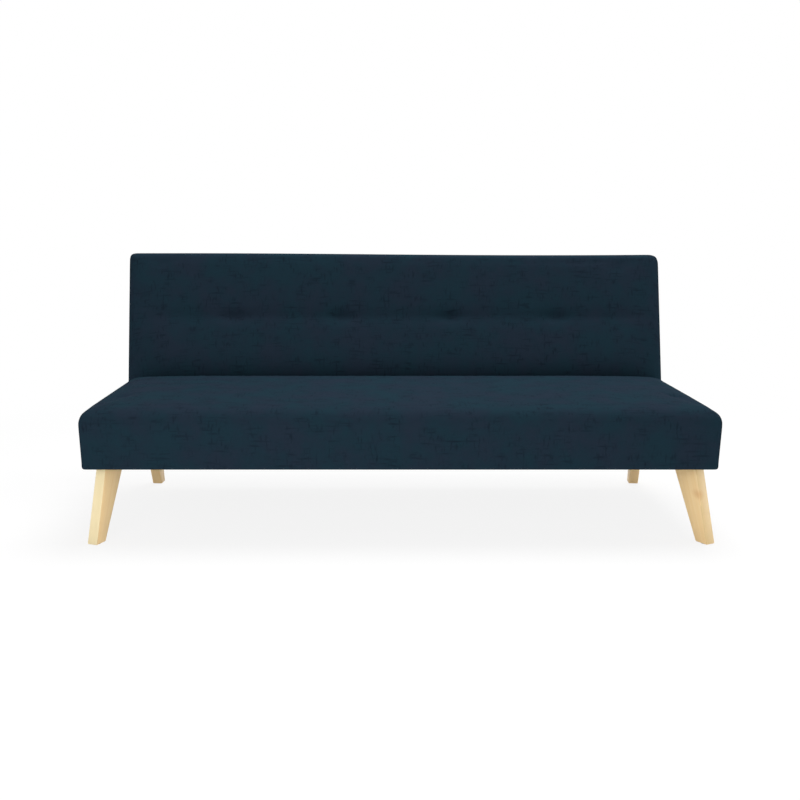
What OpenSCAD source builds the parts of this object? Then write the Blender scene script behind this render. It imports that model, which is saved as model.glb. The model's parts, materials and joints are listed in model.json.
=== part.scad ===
// Armless click-clack sofa bed. A padded seat box stands on a welded steel chassis with
// four raked wooden legs. The backrest tips forward a little to lift its pawls out of the
// ratchet, then folds down behind the seat until the two padded faces are level.
// Millimetres. +X runs along the sofa, -Y is the front and +Z is up. The origin is on the
// floor under the middle of the sofa.

/* [Seat] */
// Width over the upholstery, seat and backrest alike
seat_w = 1680; // [1400:10:2000]
// Depth of the seat box, front face to rear face
seat_d = 550; // [480:5:640]
// Thickness of the seat box, underside to sitting surface
seat_t = 165; // [155:1:200]
// Height of the seat box's underside above the floor
leg_h = 205; // [150:1:260]
// Thickness of the seat's foam pad
seat_pad_t = 43; // [30:1:50]

/* [Backrest] */
// Thickness of the backrest over its cover
back_t = 120; // [112:1:140]
// Length of the backrest from its lower end to its top edge
back_len = 503; // [420:1:600]
// Lean of the backrest from upright when used as a sofa
lean = 15; // [10:1:20]
// Thickness of the backrest's foam pad
back_pad_t = 45; // [30:1:48]
// Distance of the sewn crease and its tufts below the backrest's top edge
crease_drop = 207; // [160:1:240]
// Number of tufts along the crease
tuft_count = 4; // [2:1:6]

/* [Upholstery] */
// Thickness of the cover cloth with its wadding
cover_t = 2; // [1:0.5:3]
// Foam between the seat's front rail and its cover
front_foam = 16; // [12:1:24]
// Foam between the seat's rear rail and its cover
rear_foam = 8; // [6:1:14]
// Foam outside the hinge arms, at the sofa's two ends
arm_pad = 22; // [12:1:24]
// Wadding behind the backrest's frame
rear_wadding = 6.5; // [4:0.5:10]
// Radius of the seat's front top edge
front_edge_r = 38; // [20:1:45]
// Radius of the seat's other edges
seat_edge_r = 26; // [16:1:36]
// Radius of the backrest's top and side edges
back_edge_r = 25; // [16:1:36]
// Radius of the backrest's lower end, which turns past the seat
foot_edge_r = 40; // [32:1:50]

/* [Frame] */
// Thickness of the frame boards
board_t = 18; // [15:1:22]
// Thickness of the wire springs
wire_t = 3.8; // [3:0.2:4.4]
// Width of a wire spring's bends
spring_w = 44; // [36:1:52]

/* [Chassis] */
// Width of the chassis tube
tube_w = 30; // [25:1:40]
// Height of the chassis tube
tube_h = 25; // [20:1:30]
// Wall of the chassis tube
tube_wall = 1.5; // [1.2:0.1:2.5]
// Thickness of the plates that the legs stand against
plate_t = 4; // [3:0.5:6]
// Reach of the chassis behind the seat box
chassis_tail = 130; // [110:1:160]

/* [Legs] */
// Thickness of the leg boards
leg_t = 30; // [22:1:34]
// Width of a leg at its top
leg_top_w = 84; // [60:1:90]
// Width of a leg at its foot
leg_foot_w = 40; // [36:1:60]
// Offset of the foot's middle from the leg's bolt
leg_rake = 76; // [30:1:76]
// Turn of the front left leg, its foot outwards
turn_left = 22; // [0:1:28]
// Turn of the front right leg, its foot outwards
turn_right = 29; // [0:1:29]
// Turn of the rear left leg, its foot outwards
turn_rear_left = -4; // [-8:1:8]
// Turn of the rear right leg, its foot outwards
turn_rear_right = 6; // [-8:1:8]
// Distance of the front leg bolts behind the front face
front_leg_in = 97; // [91:1:115]
// Distance of the rear leg bolts ahead of the chassis's rear end
rear_leg_in = 65; // [40:1:75]
// Thickness of the glides under the feet
glide_t = 2; // [1:0.5:4]

/* [Hinge] */
// Thickness of the hinge's seat arm and of the pawl
arm_t = 4; // [3:0.5:5]
// Thickness of the backrest arm's two leaves
leaf_t = 2.5; // [2:0.5:4]
// Radius of the ratchet on the seat arm
ratchet_r = 42; // [40:1:44]
// Radius of the pivot rivet
rivet_r = 6; // [4:0.5:7]
// Angle from the sofa position to the half-reclined notch
lounge_angle = 38; // [32:1:44]
// Angle the backrest tips forward to release the pawls
release_angle = 12; // [8:1:12]
// Swing of a pawl as it drops into a notch
pawl_drop = 9; // [7:0.5:10]

/* [Hidden] */
$fn = 48;

cloth_colour = "#2b404e";
lining_colour = "#26282b";
foam_colour = "#eee2c0";
felt_colour = "#8d8f90";
board_colour = "#d8bd8c";
leg_colour = "#e6d2a6";
paint_colour = "#232527";
steel_colour = "#b9bcc0";
plastic_colour = "#1b1c1e";

// Past a face, so that a cut goes right through
past = 1;

// Upholstery and springs
felt_t = 2;
spring_zone = 6;
spring_room = 15;
lining_t = 1;
cloth_lap = 12;
hem_r = 8;
half_w = seat_w / 2;
seat_top = leg_h + seat_t;
tuft_pitch = seat_w / (tuft_count + 1);
tuft_x = [for (i = [0:tuft_count - 1]) (i - (tuft_count - 1) / 2) * tuft_pitch];

// Across the sofa, from its middle outwards
arm_out = half_w - cover_t - arm_pad;
rail_out = arm_out - arm_t;
rail_in = rail_out - board_t;
tube_x = rail_in - tube_w / 2;
leaf_gap = 0.5;
back_rail_out = rail_out - leaf_gap - leaf_t;
back_rail_in = back_rail_out - board_t;
outer_leaf_x = arm_out + leaf_gap;
leaf_out = outer_leaf_x + leaf_t;

// Front to rear, from the seat's front face
tube_setback = 14;
rail_front = cover_t + front_foam;
rail_rear = seat_d - cover_t - rear_foam;
chassis_start = rail_front + board_t + tube_setback;
chassis_end = seat_d + chassis_tail;
rear_bolt_y = chassis_end - rear_leg_in;

// Fasteners
bolt_r = 4;
bolt_gap = 0.25;
head_r = 7;
head_t = 5.5;
nut_r = 7.5;
nut_t = 6.5;
leg_nut_t = 5;
washer_t = 1.6;
washer_r = 9;
screw_r = 2.5;
screw_len = 50;
screw_inset = 25;
chassis_bolt_y = [150, 420];
leg_bolt_deep = 42;
head_pocket = 0.5;

// Heights above the floor
rail_z0 = leg_h + cover_t;
rail_z1 = seat_top - cover_t - seat_pad_t - felt_t - spring_zone;
felt_z = rail_z1 + spring_zone;
pad_z = felt_z + felt_t;
tube_z = leg_h + plate_t;
tube_top = tube_z + tube_h;
tube_mid = tube_z + tube_h / 2;
leg_nut_top = tube_top + washer_t + leg_nut_t;

// Pivot: as far behind the seat as the lower end needs to turn, and half the backrest's
// thickness below the seat's surface, so that the two faces lie level when it is flat.
// It is higher only where the lower end wouldn't clear the nuts on the chassis
fold_gap = 1.7;
turn_gap = 1;
foot_len = back_t / 2;
back_reach = foot_edge_r + (foot_len - foot_edge_r) * sqrt(2);
pivot_y = seat_d + back_reach + fold_gap;
pivot_z = max(seat_top - back_t / 2, leg_nut_top + turn_gap + back_reach);
back_up = back_len - foot_len;

// The sofa's depth, and the place of its front face with the origin in the middle
rear_corner = (back_t / 2 - back_edge_r) * cos(lean) + (back_up - back_edge_r) * sin(lean);
sofa_d = pivot_y + rear_corner + back_edge_r;
front_y = -sofa_d / 2;

// Backrest frame, in the backrest's own frame: +Z up the panel, -Y its padded face,
// and the pivot at the origin
back_front = -back_t / 2 + cover_t + back_pad_t + felt_t + spring_zone;
cloth_t = 1.5;
back_rear = back_t / 2 - cover_t - cloth_t - rear_wadding;
top_foam = 21;
low_foam = 8;
corner_foam = 7;
brace_setback = 10;
back_top = back_up - cover_t - top_foam;
back_low = -foot_len + cover_t + low_foam;
crease_z = back_up - crease_drop;
brace_front = back_front + brace_setback;
tuft_disc_r = 7;
twine_r = 1.5;
twine_gap = 0.2;

// Seat arm of the hinge: a bar that runs forward below the pivot, to bolts ahead of the
// frame's corner block
corner_block_w = 60;
bar_w = 40;
bar_drop = 25;
bar_root = 20;
bar_bolt_gap = 12;
bar_bolt_pitch = 25;
bar_end = 20;
bar_bolt_y = [for (i = [0:2])
    rail_rear - board_t - corner_block_w - bar_bolt_gap - i * bar_bolt_pitch];
bar_front = bar_bolt_y[2] - bar_end;
bar_z = pivot_z - bar_drop;
slot_gap = 2;

// Backrest arm of the hinge, measured from the pivot up the panel
leaf_w = 56;
leaf_end_r = 26;
leaf_len = 190;
spacer_z = 100;
leaf_bolts = [115, 148, 180];
leaf_pocket = 1;

// Ratchet and pawl. The pawl's round nose rides just outside the ratchet's crests and
// drops by one swing into a notch
nose_r = 4;
nose_gap = 0.3;
nose_angle = 20;
nose_len = 10;
pawl_len = 36;
pawl_w = 9;
boss_r = 8;
pin_r = 3;
running_gap = 0.05;
notch_gap = 0.6;
nose_z = ratchet_r + nose_r + nose_gap;
notch_room = 1.2;
nose_shift = nose_len * sin(pawl_drop) + pawl_len * (1 - cos(pawl_drop));
notch_floor = nose_z - pawl_len * sin(pawl_drop) - nose_r - notch_room;
flat_angle = 90 - lean;
pawl_pin = turned([-pawl_len, nose_z + nose_len]);
leaf_spring_t = 1;
leaf_spring_y = 8;
leaf_spring_touch = 6;
leaf_spring_root = [leaf_spring_y, spacer_z];
leaf_spring_tip = turned([-leaf_spring_touch, nose_z + nose_len + pawl_w / 2 + nose_gap]);

// A point beside the pawl, turned with it about the pivot
function turned(p) = [
    p.x * cos(nose_angle) + p.y * sin(nose_angle),
    p.y * cos(nose_angle) - p.x * sin(nose_angle)
];

// ---------------------------------------------------------------- shared shapes

// Rectangle with a radius for each corner: lower left, lower right, upper right, upper left
module round_rect(low, high, r) {
    polygon([
        [low.x + r[0], low.y], [high.x - r[1], low.y],
        [high.x, low.y + r[1]], [high.x, high.y - r[2]],
        [high.x - r[2], high.y], [low.x + r[3], high.y],
        [low.x, high.y - r[3]], [low.x, low.y + r[0]]
    ]);
    translate([low.x + r[0], low.y + r[0]]) circle(r[0]);
    translate([high.x - r[1], low.y + r[1]]) circle(r[1]);
    translate([high.x - r[2], high.y - r[2]]) circle(r[2]);
    translate([low.x + r[3], high.y - r[3]]) circle(r[3]);
}

// Box given by its lowest and highest corners
module block(low, high) translate(low) cube(high - low);

// A flat outline drawn in Y and Z, made a plate between two places along X
module plate_x(x0, x1) translate([x0, 0, 0]) rotate([90, 0, 90]) linear_extrude(x1 - x0) children();

// A round bar along X
module rod_x(x0, x1, r) plate_x(x0, x1) circle(r);

module on_side(side) mirror([side == "left" ? 1 : 0, 0, 0]) children();
module on_both_sides() for (side = ["left", "right"]) on_side(side) children();
module from_front() translate([0, front_y, 0]) children();
module at_pivot() translate([0, front_y + pivot_y, pivot_z]) children();
module in_backrest() at_pivot() rotate([-lean, 0, 0]) children();

// Hexagonal nut standing on the XY plane
module nut(t = nut_t) difference() {
    cylinder(r = nut_r, h = t, $fn = 6);
    translate([0, 0, -past]) cylinder(r = bolt_r, h = t + 2 * past);
}

// Bolt and nut through everything from x_head inwards to x_nut
module through_bolt(x_head, x_nut) {
    rod_x(x_head, x_head + head_t, head_r);
    rod_x(x_nut - nut_t - past, x_head, bolt_r);
    translate([x_nut, 0, 0]) rotate([0, -90, 0]) nut();
}

// The padded seat box, drawn in by inset on every side
module seat_block(inset) {
    edge = seat_edge_r - inset;
    hem = hem_r - inset;
    intersection() {
        plate_x(-half_w - past, half_w + past) round_rect(
            [inset, leg_h + inset], [seat_d - inset, seat_top - inset],
            [hem, hem, edge, front_edge_r - inset]
        );
        rotate([90, 0, 0]) translate([0, 0, -seat_d - past]) linear_extrude(seat_d + 2 * past)
            round_rect(
                [inset - half_w, leg_h + inset], [half_w - inset, seat_top - inset],
                [hem, hem, edge, edge]
            );
        translate([0, 0, leg_h - past]) linear_extrude(seat_t + 2 * past) round_rect(
            [inset - half_w, inset], [half_w - inset, seat_d - inset], [edge, edge, edge, edge]
        );
    }
}

// The padded backrest in its own frame, drawn in by inset on every side
module back_block(inset) {
    edge = back_edge_r - inset;
    foot = foot_edge_r - inset;
    half_t = back_t / 2;
    intersection() {
        plate_x(-half_w - past, half_w + past) round_rect(
            [inset - half_t, inset - foot_len], [half_t - inset, back_up - inset],
            [foot, foot, edge, edge]
        );
        rotate([90, 0, 0]) linear_extrude(back_t + 2 * past, center = true) round_rect(
            [inset - half_w, inset - foot_len], [half_w - inset, back_up - inset],
            [edge, edge, edge, edge]
        );
        translate([0, 0, -foot_len - past]) linear_extrude(back_len + 2 * past) round_rect(
            [inset - half_w, inset - half_t], [half_w - inset, half_t - inset],
            [edge, edge, edge, edge]
        );
    }
}

// ---------------------------------------------------------------- legs and chassis

// Raked leg board about its bolt, foot towards -X
module leg_board() difference() {
    rotate([90, 0, 0]) linear_extrude(leg_t, center = true) polygon([
        [-leg_rake - leg_foot_w / 2, glide_t], [-leg_rake + leg_foot_w / 2, glide_t],
        [leg_top_w / 2, leg_h], [-leg_top_w / 2, leg_h]
    ]);
    translate([0, 0, leg_h - leg_bolt_deep]) cylinder(r = bolt_r, h = leg_bolt_deep + past);
}

module at_front_leg(side) from_front() on_side(side) translate([tube_x, front_leg_in, 0])
    rotate([0, 0, 90 + (side == "left" ? turn_left : turn_right)]) children();
module at_rear_leg(side) from_front() on_side(side) translate([tube_x, rear_bolt_y, 0])
    rotate([0, 0, -90 - (side == "left" ? turn_rear_left : turn_rear_right)]) children();
module at_legs() for (side = ["left", "right"]) {
    at_front_leg(side) children();
    at_rear_leg(side) children();
}

module leg_front(side) color(leg_colour) at_front_leg(side) leg_board();
module leg_rear(side) color(leg_colour) at_rear_leg(side) leg_board();

// Bolt from each leg up through plate and tube, with a washer and a thin nut
module leg_bolts() color(steel_colour) at_legs() {
    translate([0, 0, leg_h - leg_bolt_deep])
        cylinder(r = bolt_r, h = leg_nut_top - leg_h + leg_bolt_deep);
    translate([0, 0, tube_top]) difference() {
        cylinder(r = washer_r, h = washer_t);
        translate([0, 0, -past]) cylinder(r = bolt_r, h = washer_t + 2 * past);
    }
    translate([0, 0, tube_top + washer_t]) nut(leg_nut_t);
}

glide_inset = 4;
module foot_glides() color(plastic_colour) at_legs()
    translate([-leg_rake, 0, 0]) cylinder(r = leg_t / 2 - glide_inset, h = glide_t);

// Hole for a leg's bolt, up through plate and tube
module leg_bolt_hole() translate([0, 0, leg_h - past])
    cylinder(r = bolt_r + bolt_gap, h = tube_top - leg_h + 2 * past);

// Plates under the tubes, the rear ones wholly behind the seat box
plate_reach = 50;
rear_plate_y = max(rear_bolt_y - plate_reach, seat_d + plate_t);
module leg_plates() color(paint_colour) difference() {
    from_front() on_both_sides() {
        block(
            [tube_x - plate_reach, front_leg_in - plate_reach, leg_h],
            [rail_in - past, front_leg_in + plate_reach, tube_z]
        );
        block(
            [tube_x - plate_reach, rear_plate_y, leg_h],
            [rail_in - past, chassis_end, tube_z]
        );
    }
    at_legs() leg_bolt_hole();
}

// Side tube with holes for the leg bolts and for the bolts into the side rail
module chassis_side_tube(side) color(paint_colour) difference() {
    from_front() on_side(side) difference() {
        block(
            [rail_in - tube_w, chassis_start, tube_z], [rail_in, chassis_end, tube_top]
        );
        block(
            [rail_in - tube_w + tube_wall, chassis_start - past, tube_z + tube_wall],
            [rail_in - tube_wall, chassis_end + past, tube_top - tube_wall]
        );
        for (y = chassis_bolt_y) translate([0, y, tube_mid])
            rod_x(rail_in - tube_w - past, rail_in + past, bolt_r + bolt_gap);
    }
    at_legs() leg_bolt_hole();
}

// Cross tube between the side tubes, with its front face at y
module chassis_cross_tube(y) color(paint_colour) from_front() difference() {
    reach = rail_in - tube_w;
    block([-reach, y, tube_z], [reach, y + tube_w, tube_top]);
    block(
        [-reach - past, y + tube_wall, tube_z + tube_wall],
        [reach + past, y + tube_w - tube_wall, tube_top - tube_wall]
    );
}

// Plugs in the side tubes' rear ends
cap_flange_t = 3;
cap_plug_len = 15;
module tube_end_caps() color(plastic_colour) from_front() on_both_sides() {
    block(
        [rail_in - tube_w, chassis_end, tube_z], [rail_in, chassis_end + cap_flange_t, tube_top]
    );
    block(
        [rail_in - tube_w + tube_wall, chassis_end - cap_plug_len, tube_z + tube_wall],
        [rail_in - tube_wall, chassis_end, tube_top - tube_wall]
    );
}

module chassis_bolts() color(steel_colour) from_front() on_both_sides()
    for (y = chassis_bolt_y) translate([0, y, tube_mid]) through_bolt(rail_out, rail_in - tube_w);

// ---------------------------------------------------------------- seat frame

// Screws along Y through the front and rear rails into the ends of the side rails
module seat_screw_set() from_front() on_both_sides()
    for (z = [rail_z0 + screw_inset, rail_z1 - screw_inset])
        translate([rail_out - board_t / 2, 0, z]) rotate([-90, 0, 0]) {
            translate([0, 0, rail_front]) cylinder(r = screw_r, h = screw_len);
            translate([0, 0, rail_rear - screw_len]) cylinder(r = screw_r, h = screw_len);
        }

module seat_screws() color(steel_colour) seat_screw_set();

module seat_rail_front() color(board_colour) difference() {
    from_front() block(
        [-rail_out, rail_front, rail_z0], [rail_out, rail_front + board_t, rail_z1]
    );
    seat_screw_set();
}

// Room round the chassis tubes where they leave the seat box, from y0 to y1
module tube_notch(y0, y1, low = rail_z0 - past) on_both_sides() block(
    [rail_in - tube_w - past, y0, low], [rail_in + past, y1, tube_top + past]
);

module seat_rail_rear() color(board_colour) difference() {
    from_front() difference() {
        block([-rail_out, rail_rear - board_t, rail_z0], [rail_out, rail_rear, rail_z1]);
        tube_notch(rail_rear - board_t - past, rail_rear + past);
    }
    seat_screw_set();
}

// Bolt places through the seat arm of the hinge
module at_bar_bolts() for (y = bar_bolt_y) translate([0, y, bar_z]) children();

module seat_rail_side(side) color(board_colour) difference() {
    from_front() on_side(side) difference() {
        block(
            [rail_in, rail_front + board_t, rail_z0], [rail_out, rail_rear - board_t, rail_z1]
        );
        for (y = chassis_bolt_y) translate([0, y, tube_mid])
            rod_x(rail_in - past, rail_out + past, bolt_r + bolt_gap);
        at_bar_bolts() rod_x(rail_in - past, rail_out + past, bolt_r + bolt_gap);
    }
    seat_screw_set();
}

// Boards from front to rear that rest on the cross tubes
brace_x = seat_w / 6;
brace_h = 60;
module seat_braces() color(board_colour) from_front() on_both_sides() block(
    [brace_x, rail_front + board_t, tube_top],
    [brace_x + board_t, rail_rear - board_t, min(tube_top + brace_h, rail_z1 - spring_room)]
);

// Triangular glue blocks in the frame's four corners
block_lift = 16;
block_drop = 8;
module corner_blocks() color(board_colour) from_front() on_both_sides()
    for (end = [[rail_front + board_t, 1], [rail_rear - board_t, -1]])
        translate([rail_in, end[0], tube_top + block_lift])
            linear_extrude(rail_z1 - tube_top - block_lift - block_drop)
                polygon([[0, 0], [-corner_block_w, 0], [0, end[1] * corner_block_w]]);

// ---------------------------------------------------------------- springs

// Flat zigzag wire spring from y0 to y1, with a straight bar at each end for its clip
spring_bend = 48;
spring_steps = 10;
bar_len = 26;
module zigzag(y0, y1) {
    bends = round((y1 - y0) / spring_bend * 2) / 2;
    steps = bends * spring_steps;
    wave = [for (i = [0:steps]) let (a = 360 * bends * i / steps)
        [spring_w / 2 * sin(a), y0 + (y1 - y0) * i / steps]];
    slope = [for (i = [0:steps]) let (a = 360 * bends * i / steps)
        spring_w / 2 * 2 * PI * bends / (y1 - y0) * cos(a)];
    side = [for (m = slope) [1, -m] / sqrt(1 + m * m) * wire_t / 2];
    polygon(concat(
        [for (i = [0:steps]) wave[i] + side[i]],
        [for (i = [steps:-1:0]) wave[i] - side[i]]
    ));
    for (y = [y0, y1]) translate([0, y]) square([bar_len, wire_t], center = true);
}

// A row of springs lying in the XY plane, and the clips over their ends
spring_count = 2 * (tuft_count + 1);
spring_lift = (spring_zone - wire_t) / 2;
module spring_places() for (i = [0:spring_count - 1])
    translate([(i - (spring_count - 1) / 2) * tuft_pitch / 2, 0, 0]) children();
module spring_row(y0, y1) spring_places()
    translate([0, 0, spring_lift]) linear_extrude(wire_t) zigzag(y0, y1);

// Each clip is folded round the bar and open towards the spring
clip_w = 18;
clip_d = 12;
clip_gap = 0.2;
module clip_row(y0, y1) spring_places() for (end = [[y0, 0], [y1, 180]])
    translate([0, end[0], 0]) rotate([0, 0, end[1]]) difference() {
        translate([-clip_w / 2, -clip_d / 2, 0]) cube([clip_w, clip_d, spring_zone]);
        translate([-bar_len, -wire_t / 2 - clip_gap, spring_lift - clip_gap])
            cube([2 * bar_len, clip_d, wire_t + 2 * clip_gap]);
    }

module seat_springs() color(steel_colour) from_front() translate([0, 0, rail_z1])
    spring_row(rail_front + board_t / 2, rail_rear - board_t / 2);
module seat_spring_clips() color(steel_colour) from_front() translate([0, 0, rail_z1])
    clip_row(rail_front + board_t / 2, rail_rear - board_t / 2);

// The same row standing in the backrest, flat side towards the pad
module in_back_springs() in_backrest() translate([0, back_front, 0]) rotate([90, 0, 0]) children();
module back_springs() color(steel_colour) in_back_springs()
    spring_row(back_low + board_t / 2, back_top - board_t / 2);
module back_spring_clips() color(steel_colour) in_back_springs()
    clip_row(back_low + board_t / 2, back_top - board_t / 2);

// ---------------------------------------------------------------- seat upholstery

module seat_felt() color(felt_colour) from_front() block(
    [-rail_out + past, rail_front + past, felt_z], [rail_out - past, rail_rear - past, pad_z]
);

module seat_pad() color(foam_colour) from_front() intersection() {
    seat_block(cover_t);
    block([-half_w, 0, pad_z], [half_w, seat_d, seat_top]);
}

module seat_front_foam() color(foam_colour) from_front() intersection() {
    seat_block(cover_t);
    block([-half_w, 0, leg_h], [half_w, rail_front, pad_z]);
}

// Room round the bar of the seat arm, from y0 to y1 behind the front face
module bar_slot(y0, y1) on_both_sides() block(
    [rail_out, y0, bar_z - bar_w / 2 - slot_gap],
    [arm_out + leaf_gap, y1, bar_z + bar_w / 2 + slot_gap]
);

module seat_rear_foam() color(foam_colour) from_front() difference() {
    intersection() {
        seat_block(cover_t);
        block([-half_w, rail_rear, leg_h], [half_w, seat_d, pad_z]);
    }
    tube_notch(rail_rear - past, seat_d);
    bar_slot(rail_rear - past, seat_d);
}

module seat_side_foam(side) color(foam_colour) from_front() on_side(side) difference() {
    intersection() {
        seat_block(cover_t);
        block([rail_out, rail_front, leg_h], [half_w, rail_rear, pad_z]);
    }
    bar_slot(bar_front - slot_gap, rail_rear + past);
    for (y = chassis_bolt_y) translate([0, y, tube_mid])
        rod_x(rail_out, rail_out + head_t + head_pocket, head_r + head_pocket);
    at_bar_bolts() rod_x(arm_out, arm_out + head_t + head_pocket, head_r + head_pocket);
}

// Cover over top and sides, turned in under the rails all round
module seat_cover() color(cloth_colour) from_front() difference() {
    seat_block(0);
    seat_block(cover_t);
    block(
        [cloth_lap - rail_out, rail_front + cloth_lap, leg_h - past],
        [rail_out - cloth_lap, rail_rear - cloth_lap, rail_z0 + past]
    );
    tube_notch(rail_rear, seat_d + past, rail_z0);
    bar_slot(rail_rear, seat_d + past);
}

// Thin cloth under the seat, cut out round the front leg plates
module seat_dust_cover() color(lining_colour) from_front() difference() {
    edge = cloth_lap + 1;
    block(
        [edge - rail_out, rail_front + edge, rail_z0 - lining_t],
        [rail_out - edge, rail_rear - edge, rail_z0]
    );
    on_both_sides() block(
        [tube_x - plate_reach - past, front_leg_in - plate_reach - past, leg_h],
        [rail_in, front_leg_in + plate_reach + past, rail_z0 + past]
    );
}

// ---------------------------------------------------------------- hinge

// One notch, wide enough for every place of the nose between two backrest angles
module notch(from, to) {
    mid = lean + nose_angle + (from + to) / 2;
    sweep = ratchet_r * sin((to - from) / 2);
    half = nose_r + notch_gap;
    rotate(-mid) translate([-half - nose_shift - sweep, notch_floor])
        square([2 * half + nose_shift + 2 * sweep, ratchet_r - notch_floor + past]);
}

// Seat arm: ratchet round the pivot and the bar that is bolted to the seat's side rail
module hinge_seat_arm(side) color(steel_colour) on_side(side) at_pivot() difference() {
    plate_x(rail_out, arm_out) difference() {
        union() {
            circle(ratchet_r, $fn = 96);
            translate([bar_front - pivot_y, -bar_drop - bar_w / 2])
                square([pivot_y - bar_front - bar_root, bar_w]);
        }
        notch(-release_angle, 0);
        notch(lounge_angle, lounge_angle);
        notch(flat_angle, flat_angle);
        circle(rivet_r + running_gap);
        for (y = bar_bolt_y) translate([y - pivot_y, -bar_drop]) circle(bolt_r + bolt_gap);
    }
}

module hinge_seat_bolts() color(steel_colour) from_front() on_both_sides()
    at_bar_bolts() through_bolt(arm_out, rail_in);

// Outline of a leaf of the backrest arm
module leaf_outline() difference() {
    union() {
        circle(leaf_end_r);
        translate([-leaf_w / 2, 0]) square([leaf_w, leaf_len]);
    }
    circle(rivet_r);
    translate(pawl_pin) circle(pin_r);
    for (z = leaf_bolts) translate([0, z]) circle(bolt_r + bolt_gap);
}

// Backrest arm: two leaves either side of the ratchet, and the spacer between them
module hinge_back_arm(side) color(steel_colour) in_backrest() on_side(side) {
    plate_x(back_rail_out, back_rail_out + leaf_t) leaf_outline();
    plate_x(outer_leaf_x, leaf_out) leaf_outline();
    plate_x(back_rail_out + leaf_t, outer_leaf_x) difference() {
        translate([-leaf_w / 2, spacer_z]) square([leaf_w, leaf_len - spacer_z]);
        for (z = leaf_bolts) translate([0, z]) circle(bolt_r + bolt_gap);
    }
}

rivet_head_t = 3;
rivet_head_r = 10;
module hinge_rivets() color(steel_colour) in_backrest() on_both_sides() {
    rod_x(back_rail_out, leaf_out, rivet_r);
    rod_x(back_rail_out - rivet_head_t, back_rail_out, rivet_head_r);
    rod_x(leaf_out, leaf_out + rivet_head_t, rivet_head_r);
}

module at_leaf_bolts() for (z = leaf_bolts) translate([0, 0, z]) children();
module hinge_back_bolts() color(steel_colour) in_backrest() on_both_sides()
    at_leaf_bolts() through_bolt(leaf_out, back_rail_in);

module pawl_pins() color(steel_colour) in_backrest() on_both_sides()
    translate([0, pawl_pin.x, pawl_pin.y]) rod_x(back_rail_out, leaf_out, pin_r);

// Pawl: round nose, short neck and arm back to its pin
module pawl(side) color(steel_colour) in_backrest() on_side(side)
    plate_x(rail_out, arm_out) difference() {
        rotate(-nose_angle) union() {
            translate([0, nose_z]) circle(nose_r);
            translate([-nose_r, nose_z]) square([2 * nose_r, nose_len + pawl_w / 2]);
            translate([-pawl_len, nose_z + nose_len - pawl_w / 2]) square([pawl_len, pawl_w]);
            translate([-pawl_len, nose_z + nose_len]) circle(boss_r);
        }
        translate(pawl_pin) circle(pin_r + running_gap);
    }

// Leaf spring from the spacer down to the back of the pawl
module pawl_springs() color(steel_colour) in_backrest() on_both_sides()
    plate_x(rail_out, arm_out) polygon([
        leaf_spring_root, leaf_spring_root + [leaf_spring_t, 0],
        leaf_spring_tip + [leaf_spring_t, 0], leaf_spring_tip
    ]);

// Room in the backrest's foam for one hinge through its whole swing
module hinge_pocket() {
    bar_cut();
    plate_x(back_rail_out, leaf_out + leaf_gap) {
        circle(leaf_end_r + leaf_pocket);
        translate([-leaf_w / 2 - leaf_pocket, 0])
            square([leaf_w + 2 * leaf_pocket, leaf_len + leaf_pocket]);
    }
    rod_x(leaf_out, leaf_out + rivet_head_t + head_pocket, rivet_head_r + head_pocket);
    at_leaf_bolts() rod_x(leaf_out, leaf_out + head_t + head_pocket, head_r + head_pocket);
}

// The slot that the seat arm's bar and ratchet sweep in the backrest
module bar_cut() {
    bar_low = bar_drop + bar_w / 2 + slot_gap;
    bar_high = bar_drop - bar_w / 2 - slot_gap;
    plate_x(rail_out - leaf_gap, arm_out + leaf_gap) {
        circle(ratchet_r + slot_gap);
        translate([-back_t / 2 - past, -foot_len - past])
            square([back_t / 2 + past + bar_low, foot_len + past - bar_high]);
    }
}

// ---------------------------------------------------------------- backrest frame

// Frame boards stay inside this outline, which follows the rounded lower end
module back_frame_outline() back_block(cover_t + corner_foam);

module back_rail_side(side) color(board_colour) in_backrest() on_side(side) difference() {
    intersection() {
        block([back_rail_in, back_front, back_low], [back_rail_out, back_rear, back_top]);
        back_frame_outline();
    }
    at_leaf_bolts() rod_x(back_rail_in - past, back_rail_out + past, bolt_r + bolt_gap);
    rod_x(back_rail_out - rivet_head_t - head_pocket, back_rail_out + past,
        rivet_head_r + head_pocket);
}

module back_rail_top() color(board_colour) in_backrest() block(
    [-back_rail_in, back_front, back_top - board_t], [back_rail_in, back_rear, back_top]
);

module back_rail_bottom() color(board_colour) in_backrest() intersection() {
    block(
        [-back_rail_in, back_front, back_low], [back_rail_in, back_rear, back_low + board_t]
    );
    back_frame_outline();
}

// Board behind the crease, which the tufts are tied to
module back_brace() color(board_colour) in_backrest() block(
    [-back_rail_in, brace_front, crease_z - board_t / 2],
    [back_rail_in, back_rear, crease_z + board_t / 2]
);

// ---------------------------------------------------------------- backrest upholstery

pad_face = cover_t - back_t / 2;
pad_back = pad_face + back_pad_t;

module tuft_rod(y0, y1, r) for (x = tuft_x) translate([x, y0, crease_z])
    rotate([-90, 0, 0]) cylinder(r = r, h = y1 - y0);

// Twine from the brace through the pad to a small disc under the cover
disc_t = 1.5;
module tuft_ties() color(lining_colour) in_backrest() {
    tuft_rod(pad_face, pad_face + disc_t, tuft_disc_r);
    tuft_rod(pad_face + disc_t, brace_front, twine_r);
}

module back_felt() color(felt_colour) in_backrest() difference() {
    block(
        [-back_rail_out + past, pad_back, back_low + board_t],
        [back_rail_out - past, pad_back + felt_t, back_top - past]
    );
    tuft_rod(pad_back - past, pad_back + felt_t + past, twine_r + twine_gap);
}

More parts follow.
